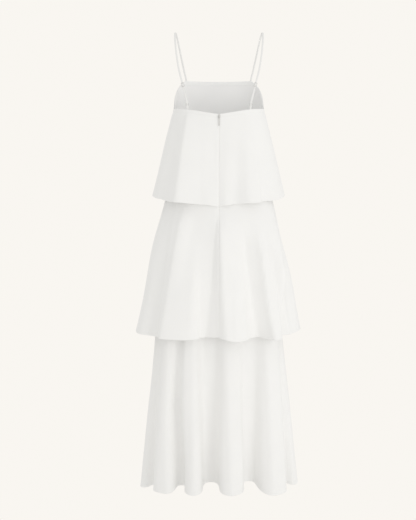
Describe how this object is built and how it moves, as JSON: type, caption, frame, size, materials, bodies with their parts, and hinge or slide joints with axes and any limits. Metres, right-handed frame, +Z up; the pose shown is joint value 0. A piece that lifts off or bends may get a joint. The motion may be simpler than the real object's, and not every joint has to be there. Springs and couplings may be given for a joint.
{
  "type": "maxi dress",
  "caption": "Sleeveless maxi dress with three overlapping flared tiers, thin straps, a straight neckline and a concealed centre back zip, hanging filled out.",
  "frame": {"origin": "midway between the crowns of the two straps, at their underside, where the wearer's shoulders hold the dress", "axes": "+Z up, the front faces -Y and the back with the zip faces +Y, +X is the wearer's left"},
  "size_m": [0.4967, 0.3186, 1.3772],
  "materials": {
    "cloth": "matte",
    "strap": "satin",
    "tape": "matte",
    "metal": "satin"
  },
  "bodies": {
    "dress": {"sheath_front": "cloth", "sheath_back_left": "cloth", "sheath_back_right": "cloth", "tier1_front": "cloth", "tier1_back_left": "cloth", "tier1_back_right": "cloth", "tier2_front": "cloth", "tier2_back_left": "cloth", "tier2_back_right": "cloth", "tier3_front": "cloth", "tier3_back": "cloth", "strap_left": "strap", "strap_right": "strap", "strap_tab_left": "strap", "strap_tab_right": "strap", "strap_ring_left": "metal", "strap_ring_right": "metal", "strap_adjuster_left": "metal", "strap_adjuster_right": "metal", "zip_tape": "tape", "zip_slider": "metal"},
    "zip_pull": {"zip_pull": "metal"}
  },
  "joints": [
    {"name": "pull_swing", "type": "hinge", "parent": "dress", "child": "zip_pull", "pos_m": [0, 0.10215, -0.2425], "axis": [1, 0, 0], "range_deg": [-5, 150]}
  ]
}
